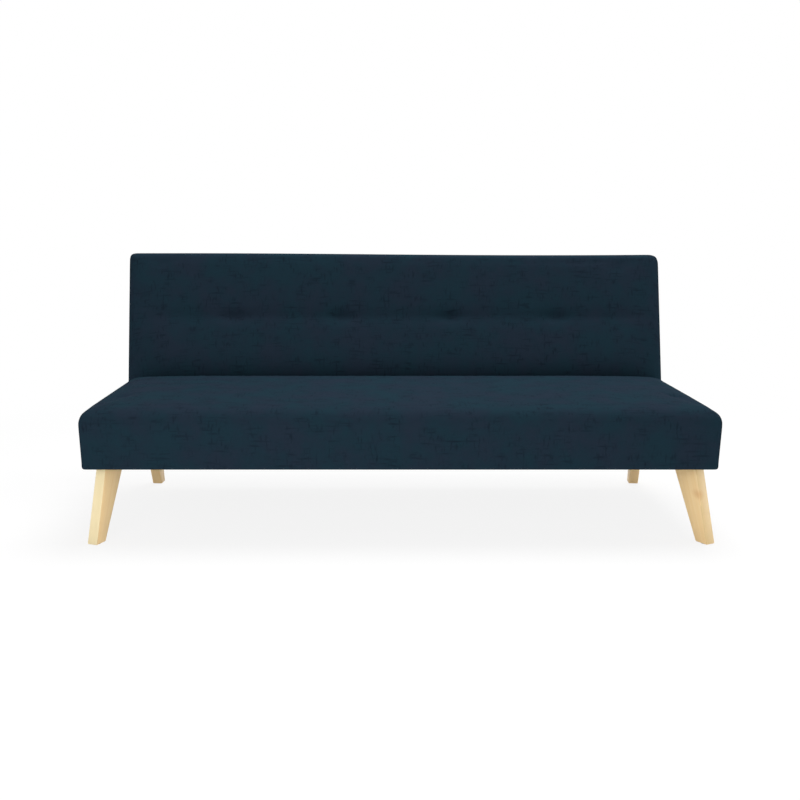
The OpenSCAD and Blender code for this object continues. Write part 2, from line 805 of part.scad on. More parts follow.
module back_pad() color(foam_colour) in_backrest() difference() {
    intersection() {
        back_block(cover_t);
        block([-half_w, pad_face, -foot_len], [half_w, pad_back, back_up]);
    }
    tuft_rod(pad_face - past, pad_face + disc_t + twine_gap, tuft_disc_r + twine_gap);
    tuft_rod(pad_face, pad_back + past, twine_r + twine_gap);
    on_both_sides() hinge_pocket();
}

module back_top_foam() color(foam_colour) in_backrest() intersection() {
    back_block(cover_t);
    block([-half_w, pad_back, back_top], [half_w, back_rear, back_up]);
}

module back_bottom_foam() color(foam_colour) in_backrest() difference() {
    intersection() {
        back_block(cover_t);
        block([-half_w, pad_back, -foot_len], [half_w, back_rear, back_low]);
    }
    back_frame_outline();
    on_both_sides() hinge_pocket();
}

module back_side_foam(side) color(foam_colour) in_backrest() on_side(side) difference() {
    intersection() {
        back_block(cover_t);
        block([back_rail_out, pad_back, back_low], [half_w, back_rear, back_top]);
    }
    hinge_pocket();
}

module back_rear_wadding() color(foam_colour) in_backrest() intersection() {
    back_block(cover_t);
    block([-half_w, back_rear, -foot_len], [half_w, back_rear + rear_wadding, back_up]);
}

// Cloth over the rear, tucked under the cover's turned-in edge
rear_lap = 40;
module back_rear_cloth() color(cloth_colour) in_backrest() block(
    [rear_lap - half_w, back_rear + rear_wadding, foot_edge_r - foot_len],
    [half_w - rear_lap, back_t / 2 - cover_t, back_up - back_edge_r]
);

module back_cover() color(cloth_colour) in_backrest() difference() {
    back_block(0);
    back_block(cover_t);
    block(
        [rear_lap + cloth_lap - half_w, 0, foot_edge_r - foot_len + cloth_lap],
        [half_w - rear_lap - cloth_lap, back_t, back_up - back_edge_r - cloth_lap]
    );
    on_both_sides() bar_cut();
}

// ---------------------------------------------------------------- the sofa

leg_front("left");  // leg_front_left
leg_front("right");  // leg_front_right
leg_rear("left");  // leg_rear_left
leg_rear("right");  // leg_rear_right
leg_bolts();
foot_glides();
leg_plates();
chassis_side_tube("left");  // chassis_tube_left
chassis_side_tube("right");  // chassis_tube_right
chassis_cross_tube(chassis_start);  // chassis_tube_front
chassis_cross_tube(seat_d / 2);  // chassis_tube_middle
chassis_cross_tube(chassis_end - tube_w);  // chassis_tube_rear
tube_end_caps();
chassis_bolts();
seat_rail_front();
seat_rail_rear();
seat_rail_side("left");  // seat_rail_left
seat_rail_side("right");  // seat_rail_right
seat_braces();
corner_blocks();
seat_screws();
seat_springs();
seat_spring_clips();
seat_felt();
seat_pad();
seat_front_foam();
seat_rear_foam();
seat_side_foam("left");  // seat_side_foam_left
seat_side_foam("right");  // seat_side_foam_right
seat_cover();
seat_dust_cover();
hinge_seat_arm("left");  // hinge_seat_arm_left
hinge_seat_arm("right");  // hinge_seat_arm_right
hinge_seat_bolts();
hinge_back_arm("left");  // hinge_back_arm_left
hinge_back_arm("right");  // hinge_back_arm_right
hinge_rivets();
hinge_back_bolts();
pawl_pins();
pawl_springs();
pawl("left");  // pawl_left
pawl("right");  // pawl_right
back_rail_side("left");  // back_rail_left
back_rail_side("right");  // back_rail_right
back_rail_top();
back_rail_bottom();
back_brace();
back_springs();
back_spring_clips();
back_felt();
back_pad();
back_top_foam();
back_bottom_foam();
back_side_foam("left");  // back_side_foam_left
back_side_foam("right");  // back_side_foam_right
back_rear_wadding();
back_rear_cloth();
back_cover();
tuft_ties();
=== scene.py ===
import json
import math

import bmesh
import bpy
import numpy as np
from mathutils import Matrix, Vector, noise


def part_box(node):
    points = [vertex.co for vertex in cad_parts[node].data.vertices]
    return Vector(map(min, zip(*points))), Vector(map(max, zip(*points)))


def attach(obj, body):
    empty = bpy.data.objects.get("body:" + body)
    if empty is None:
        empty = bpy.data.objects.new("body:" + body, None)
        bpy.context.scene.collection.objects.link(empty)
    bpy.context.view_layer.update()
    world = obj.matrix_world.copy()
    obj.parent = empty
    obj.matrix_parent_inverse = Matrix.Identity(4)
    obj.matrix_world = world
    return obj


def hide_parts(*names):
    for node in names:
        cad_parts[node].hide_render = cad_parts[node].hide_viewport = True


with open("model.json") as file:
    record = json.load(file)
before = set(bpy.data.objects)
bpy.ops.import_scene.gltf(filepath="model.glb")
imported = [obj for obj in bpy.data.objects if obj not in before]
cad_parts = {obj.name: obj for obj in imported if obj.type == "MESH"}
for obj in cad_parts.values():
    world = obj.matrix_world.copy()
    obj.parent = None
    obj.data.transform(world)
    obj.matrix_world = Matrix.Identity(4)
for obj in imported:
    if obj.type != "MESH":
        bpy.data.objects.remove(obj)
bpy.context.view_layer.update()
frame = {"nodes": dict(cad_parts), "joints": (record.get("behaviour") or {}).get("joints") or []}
nodes = frame["nodes"]

# ------------------------------------------------------------------ seat upholstery
# Foam pads and wadding on a wooden box frame, under one close cover of slub cloth. The
# cover is pulled over the crowned top and the squared ends, drawn in a little towards its
# hem, turned under the rails and stapled there. Its rear is flat, where the backrest turns.
# All sizes are in metres, and end sizes are given for the left (-1) and the right (1).
seat_low, seat_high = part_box("seat_cover")
seat_sink = 0.002
seat_crown = Vector((0.0005, 0.012, 0.0135))
end_fall = 0.300
end_slack = 0.7
front_rise = 0.300
front_slack = 0.05
corner_drop = {-1: 0.0035, 1: 0.0070}
corner_fall = 0.150
front_edge_r = 0.040
end_edge_r = {-1: 0.034, 1: 0.030}
upright_edge_r = 0.012
hem_r = 0.008
hem_draw = 0.005
hem_w = 0.020
seat_held = 0.012
rear_held = 0.002
padding_force = 6
dent_reach = 0.06
dent_low = 0.12
grid = 0.011
edge_steps = 5


def start_block(name, low, high):
    """A cube between two corners, in edit mode and alone in the selection."""
    bpy.ops.object.select_all(action="DESELECT")
    bpy.ops.mesh.primitive_cube_add(size=1, location=(low + high) / 2, scale=high - low)
    piece = bpy.context.object
    piece.name = piece.data.name = name
    bpy.ops.object.transform_apply(location=True, rotation=True, scale=True)
    bpy.ops.object.mode_set(mode="EDIT")
    return piece


def pick(piece, kind, wanted):
    """Selects the corners, edges or faces that pass a test, in edit mode."""
    bpy.ops.mesh.select_mode(type=kind)
    bpy.ops.mesh.select_all(action="DESELECT")
    mesh = bmesh.from_edit_mesh(piece.data)
    for part in {"VERT": mesh.verts, "EDGE": mesh.edges, "FACE": mesh.faces}[kind]:
        if wanted(part):
            part.select_set(True)
    mesh.select_flush_mode()
    bmesh.update_edit_mesh(piece.data)


def middle(edge):
    return (edge.verts[0].co + edge.verts[1].co) / 2


def runs_along(edge, axis, shortest=0.03):
    run = edge.verts[1].co - edge.verts[0].co
    return run.length > shortest and abs(run[axis]) > 0.98 * run.length


def divide(piece, axis, count, where=lambda place: True):
    """Cuts the long edges that run along one axis into so many lengths."""
    pick(piece, "EDGE", lambda edge: runs_along(edge, axis) and where(middle(edge)))
    bpy.ops.mesh.subdivide(number_cuts=count - 1)


def use_modifier(piece, kind, **settings):
    """Adds a modifier with its settings and applies it."""
    bpy.ops.object.mode_set(mode="OBJECT")
    modifier = piece.modifiers.new(kind.lower(), kind)
    for name, value in settings.items():
        setattr(modifier, name, value)
    bpy.ops.object.modifier_apply(modifier=modifier.name)


def round_edges(piece, radius, steps):
    """Rounds each sharp edge by its own radius, all in one pass so that corners blend."""
    mesh = bmesh.from_edit_mesh(piece.data)
    weight = mesh.edges.layers.float.new("bevel_weight_edge")
    radii = {edge: radius(edge) for edge in mesh.edges if edge.calc_face_angle(0) > 1}
    for edge, value in radii.items():
        edge[weight] = value / max(radii.values())
    bmesh.update_edit_mesh(piece.data)
    use_modifier(
        piece, "BEVEL", limit_method="WEIGHT", width=max(radii.values()), segments=steps,
        use_clamp_overlap=False,
    )
    bpy.ops.object.mode_set(mode="EDIT")


def swell(piece, held, crown, force, slack=lambda place: 1):
    """Padding pushes the cover out: cloth under pressure, fixed where held says so. A
    point moves out by at most the crown of the way it faces, times its slack, and the
    foam behind the cover stops it from moving in."""
    give = 0.0006
    start = [corner.co.copy() for corner in piece.data.vertices]
    outwards = [corner.normal.copy() for corner in piece.data.vertices]
    group = piece.vertex_groups.new(name="held")
    group.add([i for i, place in enumerate(start) if held(place)], 1, "REPLACE")
    cloth = piece.modifiers.new("padding", "CLOTH")
    cloth.settings.vertex_group_mass = "held"
    cloth.settings.use_pressure = True
    cloth.settings.uniform_pressure_force = force
    cloth.settings.effector_weights.gravity = 0
    for frame_number in range(1, 21):
        bpy.context.scene.frame_set(frame_number)
    bpy.ops.object.modifier_apply(modifier="padding")
    for corner, place, normal in zip(piece.data.vertices, start, outwards):
        most = give + slack(place) * (crown * normal).length
        move = corner.co - place
        out = move.dot(normal)
        drag = move - normal * out
        drag *= most / (most + drag.length)
        limit = most if out > 0 else give
        corner.co = place + drag + normal * (limit * math.tanh(out / limit))
    piece.vertex_groups.clear()
    bpy.context.scene.frame_set(1)


def lay_cloth(piece, low, high, shift):
    """Unrolls the cover into a map in metres: up the front, over the top and down the
    rear, with a separate panel at each end."""
    mesh = piece.data
    corners = np.empty(len(mesh.loops), np.int32)
    mesh.loops.foreach_get("vertex_index", corners)
    points = np.empty(len(mesh.vertices) * 3)
    mesh.vertices.foreach_get("co", points)
    points = points.reshape(-1, 3)[corners]
    normals = np.empty(len(mesh.polygons) * 3)
    mesh.polygons.foreach_get("normal", normals)
    counts = np.empty(len(mesh.polygons), np.int32)
    mesh.polygons.foreach_get("loop_total", counts)
    at_end = np.abs(np.repeat(normals.reshape(-1, 3)[:, 0], counts)) > math.sqrt(0.5)
    depth = points[:, 1] - low.y
    rise = np.minimum(points[:, 2], high.z) - low.z
    down = 2 * (high.z - low.z) - rise
    path = depth + np.where(depth < (high.y - low.y) / 2, rise, down)
    across = np.where(at_end, depth, points[:, 0]) + shift
    up = np.where(at_end, rise, path)
    mesh.uv_layers.active.data.foreach_set("uv", np.column_stack([across, up]).ravel())


seat = start_block("seat_upholstery", seat_low, seat_high - Vector((0, 0, seat_sink)))
pick(seat, "VERT", lambda corner: corner.co.z < seat_low.z + grid)
seat_size = seat_high - seat_low
bpy.ops.transform.resize(
    value=(1 - 2 * hem_draw / seat_size.x, 1 - 2 * hem_draw / seat_size.y, 1)
)


def seat_radius(edge):
    place = middle(edge)
    if place.z < seat_low.z + grid:
        return hem_r
    if abs(edge.verts[0].co.z - edge.verts[1].co.z) > grid:
        return upright_edge_r
    if runs_along(edge, 1):
        return end_edge_r[round(math.copysign(1, place.x))]
    return front_edge_r if place.y < seat_low.y + grid else upright_edge_r


round_edges(seat, seat_radius, edge_steps)
divide(seat, 0, round(seat_size.x / grid))
divide(seat, 1, round(seat_size.y / grid))
divide(seat, 2, round(seat_size.z / grid))
bpy.ops.object.mode_set(mode="OBJECT")


def ease(distance, reach, least):
    """Rises smoothly from a least value at an edge to 1 at some reach inside it."""
    share = min(1, max(0, distance / reach))
    return least + (1 - least) * share * share * (3 - 2 * share)


def seat_slack(place):
    """The cover is tighter towards the ends and the front, so the top rises from there."""
    ends = ease(seat_high.x - abs(place.x), end_fall, end_slack)
    inside = min(1, max(0, place.y - seat_low.y - front_edge_r) / front_rise)
    return ends * (front_slack + (1 - front_slack) * math.sin(math.pi / 2 * inside))


def relax(piece, share, rounds):
    """Evens out small dents and ridges in the cover, as far as share says at a place."""
    group = piece.vertex_groups.new(name="relaxed")
    for corner in piece.data.vertices:
        group.add([corner.index], share(corner.co), "REPLACE")
    use_modifier(piece, "SMOOTH", factor=0.5, iterations=rounds, vertex_group="relaxed")
    piece.vertex_groups.clear()


swell(
    seat,
    lambda place: place.z < seat_low.z + seat_held or place.y > seat_high.y - rear_held,
    seat_crown,
    force=padding_force,
    slack=seat_slack,
)
front_top = seat_low.y + front_edge_r


def near_front_top(place):
    """1 along the front top edge, falling to 0 at some reach from it."""
    if place.z <= seat_low.z + dent_low:
        return 0
    return max(0, 1 - abs(place.y - front_top) / dent_reach)


relax(seat, near_front_top, rounds=6)

# The cover is pulled down hardest over the front corners
for corner in seat.data.vertices:
    up = (corner.co.z - seat_low.z) / seat_size.z
    front = (seat_high.y - corner.co.y) / seat_size.y
    near_end = 1 - ease(seat_high.x - abs(corner.co.x), corner_fall, 0)
    drop = corner_drop[round(math.copysign(1, corner.co.x))]
    corner.co.z -= drop * near_end * front * up * up

# Inside its hem the cover stops, and the box's underside is just above the dust cover
dust_low, dust_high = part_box("seat_dust_cover")
for corner in seat.data.vertices:
    inside = min(
        seat_high.x - abs(corner.co.x), corner.co.y - seat_low.y, seat_high.y - corner.co.y
    )
    if corner.co.z < seat_low.z + 0.001 and inside > hem_w:
        corner.co.z = dust_high.z - 0.0002
use_modifier(seat, "SUBSURF", levels=1, render_levels=1)
bpy.ops.object.shade_smooth()
lay_cloth(seat, seat_low, seat_high, shift=0)


def colour(code):
    """An sRGB hex value as the linear colour that a shader takes."""
    shares = [int(code[i:i + 2], 16) / 255 for i in (1, 3, 5)]
    linear = [s / 12.92 if s <= 0.04045 else ((s + 0.055) / 1.055) ** 2.4 for s in shares]
    return (*linear, 1)


def new_material(name):
    material = bpy.data.materials.new(name)
    material.use_nodes = True
    return material, material.node_tree.nodes["Principled BSDF"]


def set_inputs(material, node, inputs):
    """Gives a node's sockets their values, or links to other nodes' outputs."""
    for name, value in inputs.items():
        if isinstance(value, bpy.types.NodeSocket):
            material.node_tree.links.new(value, node.inputs[name])
        else:
            node.inputs[name].default_value = value


def add(material, kind, inputs, **settings):
    """Adds a node: inputs holds its socket values and links, settings its properties."""
    node = material.node_tree.nodes.new(kind)
    for name, value in settings.items():
        setattr(node, name, value)
    set_inputs(material, node, inputs)
    return node


def ramp(material, factor, stops):
    """A colour ramp through (place, hex colour) stops."""
    node = add(material, "ShaderNodeValToRGB", {"Fac": factor})
    while len(node.color_ramp.elements) < len(stops):
        node.color_ramp.elements.new(1)
    for element, (place, code) in zip(node.color_ramp.elements, stops):
        element.position = place
        element.color = colour(code)
    return node.outputs["Color"]


# Polyester cloth in plain weave, piece dyed, of yarns that run thick and thin: short dark
# slubs lie along both sets of yarns, in loose clusters, the dye drifts between navy and
# teal, and the dry surface has no shine. The yarns are 0.6 mm apart and the slubs about
# 1.5 mm wide, and they are drawn 2 mm apart and 6.5 mm wide so that they show.
yarn = 0.002
slub_w = 0.0065
weft_slub = 0.060
warp_slub = 0.026
cluster = 0.050
drift = 0.13
cover_cloth, shader = new_material("slub_polyester_cloth")
laid = add(cover_cloth, "ShaderNodeUVMap", {}, uv_map="UVMap").outputs["UV"]


def cloth_noise(size, detail, roughness=0.5):
    """Noise on the laid cloth, of patches so wide and so long in metres."""
    place = add(
        cover_cloth, "ShaderNodeMapping",
        {"Vector": laid, "Scale": (1 / size[0], 1 / size[1], 1)},
    )
    return add(
        cover_cloth, "ShaderNodeTexNoise",
        {"Vector": place.outputs["Vector"], "Scale": 1, "Detail": detail,
         "Roughness": roughness},
        noise_dimensions="2D",
    ).outputs["Fac"]


def cloth_step(value, low, high, to=1):
    return add(
        cover_cloth, "ShaderNodeMapRange",
        {"Value": value, "From Min": low, "From Max": high, "To Min": 0, "To Max": to},
        interpolation_type="SMOOTHSTEP",
    ).outputs["Result"]


slubs = [
    cloth_step(cloth_noise(size, 1), 0.50, 0.84, to=0.9)
    for size in ((weft_slub, slub_w), (slub_w, warp_slub))
]
either = add(cover_cloth, "ShaderNodeMath", {0: slubs[0], 1: slubs[1]}, operation="MAXIMUM")
here = cloth_step(cloth_noise((cluster, cluster), 3), 0.40, 0.62, to=0.8)
dark = add(
    cover_cloth, "ShaderNodeMath", {0: either.outputs[0], 1: here}, operation="MULTIPLY"
)
dye = ramp(
    cover_cloth, cloth_noise((drift, drift), 5, 0.65),
    [(0.36, "#1e2935"), (0.50, "#1b2a35"), (0.64, "#192c36")],
)
mix_a, mix_b, mix_result = 6, 7, 2
shaded = add(
    cover_cloth, "ShaderNodeMix",
    {"Factor": dark.outputs[0], mix_a: dye, mix_b: colour("#131d27")}, data_type="RGBA",
)
yarns = [
    add(
        cover_cloth, "ShaderNodeTexWave",
        {"Vector": laid, "Scale": 2 * math.pi / 20 / yarn, "Distortion": 1.2, "Detail": 1,
         "Detail Scale": 1.5},
        bands_direction=direction,
    ).outputs["Fac"]
    for direction in "XY"
]
weave = add(cover_cloth, "ShaderNodeMath", {0: yarns[0], 1: yarns[1]}, operation="MULTIPLY")
relief = add(
    cover_cloth, "ShaderNodeMath", {0: either.outputs[0], 1: 0.5, 2: weave.outputs[0]},
    operation="MULTIPLY_ADD",
)
bump = add(
    cover_cloth, "ShaderNodeBump",
    {"Height": relief.outputs[0], "Strength": 0.3, "Distance": 0.0008},
)
set_inputs(cover_cloth, shader, {
    "Base Color": shaded.outputs[mix_result], "Roughness": 1, "Specular IOR Level": 0.02,
    "Normal": bump.outputs["Normal"],
})
seat.data.materials.append(cover_cloth)
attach(seat, "base")
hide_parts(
    "seat_cover", "seat_pad", "seat_front_foam", "seat_rear_foam",
    "seat_side_foam_left", "seat_side_foam_right",
)

# -------------------------------------------------------------- backrest upholstery
# The same cloth over a foam pad on the backrest's frame. One row of stitches ties the
# cover down across the panel and four twine tufts pull it deeper, so it puffs into an
# upper and a lower channel. The lower end is rounded to turn past the seat, and slots in
# it let the seat arms of the two hinges through.
recline = next(joint for joint in frame["joints"] if joint["name"] == "backrest_recline")
pivot = Vector(recline["pos_m"])
lean = math.radians(15)
back_t = 0.120
back_len = 0.503
back_foot = back_t / 2
back_up = back_len - back_foot
back_edge_r = 0.025
top_edge_r = 0.020
top_corner_r = {-1: 0.018, 1: 0.028}
foot_edge_r = 0.040
back_sink = 0.002
back_crown = Vector((0.004, 0.0045, 0.004))
back_spread = {-1: 0.005, 1: 0.0}
top_wave = 0.0033
top_wave_len = 2.28
top_wave_at = -0.66
crease_drop = 0.207
crease_lip = 0.008
crease_half = 0.024
crease_hold = 0.6
crease_fade = 0.10
edge_fall = 0.140
edge_slack = 0.2
lumbar_t = 0.015
lumbar_len = 0.198
lumbar_fade = 0.140
tuft_count = 4
tuft_depth = 0.008
tuft_half_w = 0.036
tuft_half_h = 0.015
foot_held = 0.012
cover_held = 0.004
half_w = seat_high.x
panel = Matrix.Translation(pivot) @ Matrix.Rotation(-lean, 4, "X")
back_low = Vector((-half_w, -back_t / 2, -back_foot))
back_high = Vector((half_w, back_t / 2, back_up))
back = start_block("backrest_upholstery", back_low + Vector((0, back_sink, 0)), back_high)
crease = back_up - crease_drop
for height in (crease - crease_lip, crease, crease + crease_lip):
    bpy.ops.mesh.select_all(action="SELECT")
    bpy.ops.mesh.bisect(plane_co=(0, 0, height), plane_no=(0, 0, 1))


def back_radius(edge):
    place = middle(edge)
    if runs_along(edge, 0):
        return foot_edge_r if place.z < -back_foot + grid else top_edge_r
    if runs_along(edge, 1) and place.z > back_up - grid:
        return top_corner_r[round(math.copysign(1, place.x))]
    return back_edge_r


round_edges(back, back_radius, edge_steps)
divide(back, 0, round(2 * half_w / grid))
divide(back, 1, round((back_t - 2 * back_edge_r) / grid))
divide(
    back, 2, round((crease + back_foot) / grid), lambda place: place.z < crease - crease_lip
)
divide(back, 2, round(crease_drop / grid), lambda place: place.z > crease + crease_lip)
bpy.ops.object.mode_set(mode="OBJECT")
tuft_pitch = 2 * half_w / (tuft_count + 1)
tufts = [(i - (tuft_count - 1) / 2) * tuft_pitch for i in range(tuft_count)]


def tied(place):
    """How close a place is to the tufts, from 0 to 1 at a tuft."""
    return sum(math.exp(-(((place.x - x) / tuft_half_w) ** 2)) for x in tufts)


def back_slack(place):
    """The cover is tight at the panel's edges, and the stitches hold it down in a soft
    valley, most of all at the tufts."""
    from_end = half_w - abs(place.x)
    from_top = back_up - place.z
    edges = ease(from_end, edge_fall, edge_slack) * ease(from_top, edge_fall, edge_slack)
    held = crease_hold + (1 - crease_hold) * min(1, tied(place))
    held *= min(1, from_end / crease_fade)
    return edges * (1 - held * math.exp(-(((place.z - crease) / crease_half) ** 2)))


for corner in back.data.vertices:
    place = corner.co
    if place.y < 0:
        level = math.exp(-(((place.z - crease) / tuft_half_h) ** 2))
        place.y += tuft_depth * tied(place) * level
swell(
    back,
    lambda place: place.z < -foot_held or place.y > back_t / 2 - cover_held,
    back_crown,
    force=padding_force,
    slack=back_slack,
)

top_band = 0.05
relax(
    back, lambda place: max(0, 1 - (back_up - place.z) / top_band) * (place.y < 0), rounds=2
)

# The lower channel is fuller than the upper one, most of all just above the seat. The
# factor brings the greatest fullness to 1.
for corner in back.data.vertices:
    place = corner.co
    down = min(1, max(0, (crease - place.z) / lumbar_len))
    fullness = 1.614 * down * (1 - down ** 6) * ease(half_w - abs(place.x), lumbar_fade, 0)
    place.y -= lumbar_t * fullness * min(1, max(0, -2 * place.y / back_t))

# The cover is slacker at the top, which is a little wider and in one long shallow wave
for corner in back.data.vertices:
    place = corner.co
    up = max(0, place.z / back_up)
    place.x *= 1 + back_spread[round(math.copysign(1, place.x))] / half_w * up
    turn = 2 * math.pi * (place.x - top_wave_at) / top_wave_len
    place.z += top_wave * (math.cos(turn) - 0.2) * up * up

# The cover's turned-in edge frames the rear opening, where the rear cloth lies deeper
rear_lap = 0.052
rear_flat = 0.012
opening_low = foot_edge_r - back_foot + rear_flat
opening_high = back_up - back_edge_r - rear_flat
rear_sink = 0.004
use_modifier(back, "SUBSURF", levels=1, render_levels=1)
for corner in back.data.vertices:
    place = corner.co
    inside = abs(place.x) < half_w - rear_lap and opening_low < place.z < opening_high
    if inside and place.y > back_t / 2 - 0.002:
        place.y -= rear_sink

# Slots for the seat arms: the ratchet's circle and the sweep of the bar below it
arm_low, arm_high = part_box("hinge_seat_arm_right")
slot_side = 0.0005
slot_gap = 0.002
ratchet_r = 0.042
bar_low = 0.045 + slot_gap
bar_high = 0.005 - slot_gap
slot_x = ((arm_low.x + arm_high.x) / 2, arm_high.x - arm_low.x + 2 * slot_side)
for side in (-1, 1):
    bpy.ops.object.select_all(action="DESELECT")
    bpy.ops.mesh.primitive_cylinder_add(
        vertices=64, radius=ratchet_r + slot_gap, depth=slot_x[1],
        location=(side * slot_x[0], 0, 0), rotation=(0, math.pi / 2, 0),
    )
    ratchet_room = bpy.context.object
    bpy.ops.mesh.primitive_cube_add(
        size=1,
        location=(side * slot_x[0], (bar_low - back_t) / 2, -bar_high - back_foot / 2),
        scale=(slot_x[1], bar_low + back_t, back_foot),
    )
    bar_room = bpy.context.object
    for cutter in (ratchet_room, bar_room):
        bpy.ops.object.select_all(action="DESELECT")
        back.select_set(True)
        bpy.context.view_layer.objects.active = back
        use_modifier(back, "BOOLEAN", object=cutter, operation="DIFFERENCE", solver="EXACT")
        bpy.data.objects.remove(cutter)
bpy.ops.object.shade_smooth_by_angle(angle=math.radians(50))
lay_cloth(back, back_low, back_high, shift=2.5)
back.data.transform(panel)
back.data.materials.clear()
back.data.materials.append(cover_cloth)
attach(back, "backrest")
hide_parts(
    "back_cover", "back_pad", "back_top_foam", "back_bottom_foam",
    "back_side_foam_left", "back_side_foam_right", "back_rear_wadding", "tuft_ties",
)

# --------------------------------------------------------------- backrest rear cloth
# A panel of the cover cloth closes the backrest behind. Its edges are tucked under the
# cover's turned-in edge and stapled to the frame, and thin wadding rounds it a little.
rear_t = 0.0015
rear_face = back_t / 2 - 0.002
rear_bulge = 0.003
tuck = 0.010
rear_low = Vector((-half_w + rear_lap - tuck, rear_face - rear_t, opening_low - tuck))
rear_high = Vector((half_w - rear_lap + tuck, rear_face, opening_high + tuck))
rear_size = rear_high - rear_low
rear = start_block("backrest_rear_cloth", rear_low, rear_high)
divide(rear, 0, round(rear_size.x / grid))
divide(rear, 2, round(rear_size.z / grid))
bpy.ops.object.mode_set(mode="OBJECT")
rear_mid = (rear_low + rear_high) / 2
for corner in rear.data.vertices:
    across = 2 * (corner.co.x - rear_mid.x) / rear_size.x
    up = 2 * (corner.co.z - rear_mid.z) / rear_size.z
    rounding = (1 - across ** 8) * (1 - up ** 4)
    ripple = noise.noise(Vector((corner.co.x * 4, 0, corner.co.z * 7)))
    corner.co.y += rear_bulge * rounding * (1 + 0.35 * ripple)
bpy.ops.object.shade_smooth_by_angle(angle=math.radians(50))
lay_cloth(rear, back_low, back_high, shift=6.1)
rear.data.transform(panel)
rear.data.materials.append(cover_cloth)
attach(rear, "backrest")
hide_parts("back_rear_cloth")

# ------------------------------------------------------------------------ dust cover
# Thin black spun-bonded fabric under the seat, turned in at its edges, cut out round the
# two front leg plates and stapled to the rails. It hangs a little between them.
dust_t = 0.0008
dust_sag = 0.003
end_reach = 0.15
side_reach = 0.12
plate_low, plate_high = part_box("leg_plates")
notch_gap = 0.001
plate_w = 0.066
plate_len = 0.100
notch_x = (plate_high.x - plate_w, plate_high.x)
notch_y = (plate_low.y - notch_gap, plate_low.y + plate_len + notch_gap)
bpy.ops.object.select_all(action="DESELECT")
bpy.ops.mesh.primitive_plane_add(size=1)
dust = bpy.context.object
dust.name = dust.data.name = "dust_cover_sheet"
dust_size = dust_high - dust_low
bpy.ops.object.mode_set(mode="EDIT")
bpy.ops.transform.resize(value=(dust_size.x, dust_size.y, 1))
bpy.ops.transform.translate(value=(dust_low + dust_high) / 2)
cuts = [(Vector((x, 0, 0)), Vector((1, 0, 0))) for x in
        (-notch_x[1], -notch_x[0], notch_x[0], notch_x[1])]
cuts += [(Vector((0, y, 0)), Vector((0, 1, 0))) for y in notch_y]
for place, normal in cuts:
    bpy.ops.mesh.select_all(action="SELECT")
    bpy.ops.mesh.bisect(plane_co=place, plane_no=normal)


def in_notch(face):
    centre = face.calc_center_median()
    return notch_x[0] < abs(centre.x) < notch_x[1] and notch_y[0] < centre.y < notch_y[1]


pick(dust, "FACE", in_notch)
bpy.ops.mesh.delete(type="FACE")
dust_grid = 0.02
divide(dust, 0, round(2 * notch_x[0] / dust_grid), lambda place: abs(place.x) < notch_x[0])
divide(
    dust, 1, round((dust_high.y - notch_y[1]) / dust_grid), lambda place: place.y > notch_y[1]
)
bpy.ops.object.mode_set(mode="OBJECT")
for corner in dust.data.vertices:
    across = min(1, (dust_high.x - abs(corner.co.x)) / end_reach)
    from_side = min(corner.co.y - dust_low.y, dust_high.y - corner.co.y)
    along = min(1, from_side / side_reach)
    ripple = 1 + 0.4 * noise.noise(Vector((corner.co.x * 6, corner.co.y * 9, 0)))
    corner.co.z -= dust_sag * max(0, across * along) * ripple
use_modifier(dust, "SOLIDIFY", thickness=dust_t, offset=1)
bpy.ops.object.shade_smooth_by_angle(angle=math.radians(50))

# Spun-bonded polypropylene, hot pressed with a grid of small dots. The dots are 1 mm
# apart, and are drawn 3 mm apart so that they show.
dot_pitch = 0.003
lining, shader = new_material("spun_bonded_polypropylene")
place = add(lining, "ShaderNodeTexCoord", {}).outputs["Object"]
dots = add(
    lining, "ShaderNodeTexVoronoi",
    {"Vector": place, "Scale": 1 / dot_pitch, "Randomness": 0.15}, feature="F1",
).outputs["Distance"]
fibres = add(
    lining, "ShaderNodeTexNoise", {"Vector": place, "Scale": 900, "Detail": 3}
).outputs["Fac"]
bump = add(
    lining, "ShaderNodeBump", {"Height": dots, "Strength": 0.3, "Distance": 0.0005}
)
set_inputs(lining, shader, {
    "Base Color": ramp(lining, fibres, [(0.35, "#17181a"), (0.7, "#2b2d30")]),
    "Roughness": 0.8, "Normal": bump.outputs["Normal"],
})
dust.data.materials.append(lining)
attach(dust, "base")
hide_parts("seat_dust_cover")

# ----------------------------------------------------------------------------- legs
# Four tapered boards of pale rubberwood, sawn, planed and lacquered, with broken edges.
# Each is raked and hangs on a bolt up through its plate. The front pair is turned out
# towards the corners, one a little more than the other, and the rear pair rakes back.
bolt_low, bolt_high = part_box("leg_bolts")
washer_r = 0.009
glide_t = 0.002
leg_t = 0.030
leg_top_w = 0.084
leg_foot_w = 0.040
leg_rake = 0.076
leg_edge_r = 0.0025
leg_edge_steps = 3
front_turns = (22, 29)
rear_turns = (4, 6)
bolt_x = bolt_high.x - washer_r
front_y = bolt_low.y + washer_r
rear_y = bolt_high.y - washer_r
leg_places = {
    "leg_front_left": (-bolt_x, front_y, 90 - front_turns[0]),
    "leg_front_right": (bolt_x, front_y, 90 + front_turns[1]),
    "leg_rear_left": (-bolt_x, rear_y, -90 - rear_turns[0]),
    "leg_rear_right": (bolt_x, rear_y, -90 - rear_turns[1]),
}


def at_leg(place):
    x, y, turn = place
    return Matrix.Translation((x, y, 0)) @ Matrix.Rotation(math.radians(turn), 4, "Z")


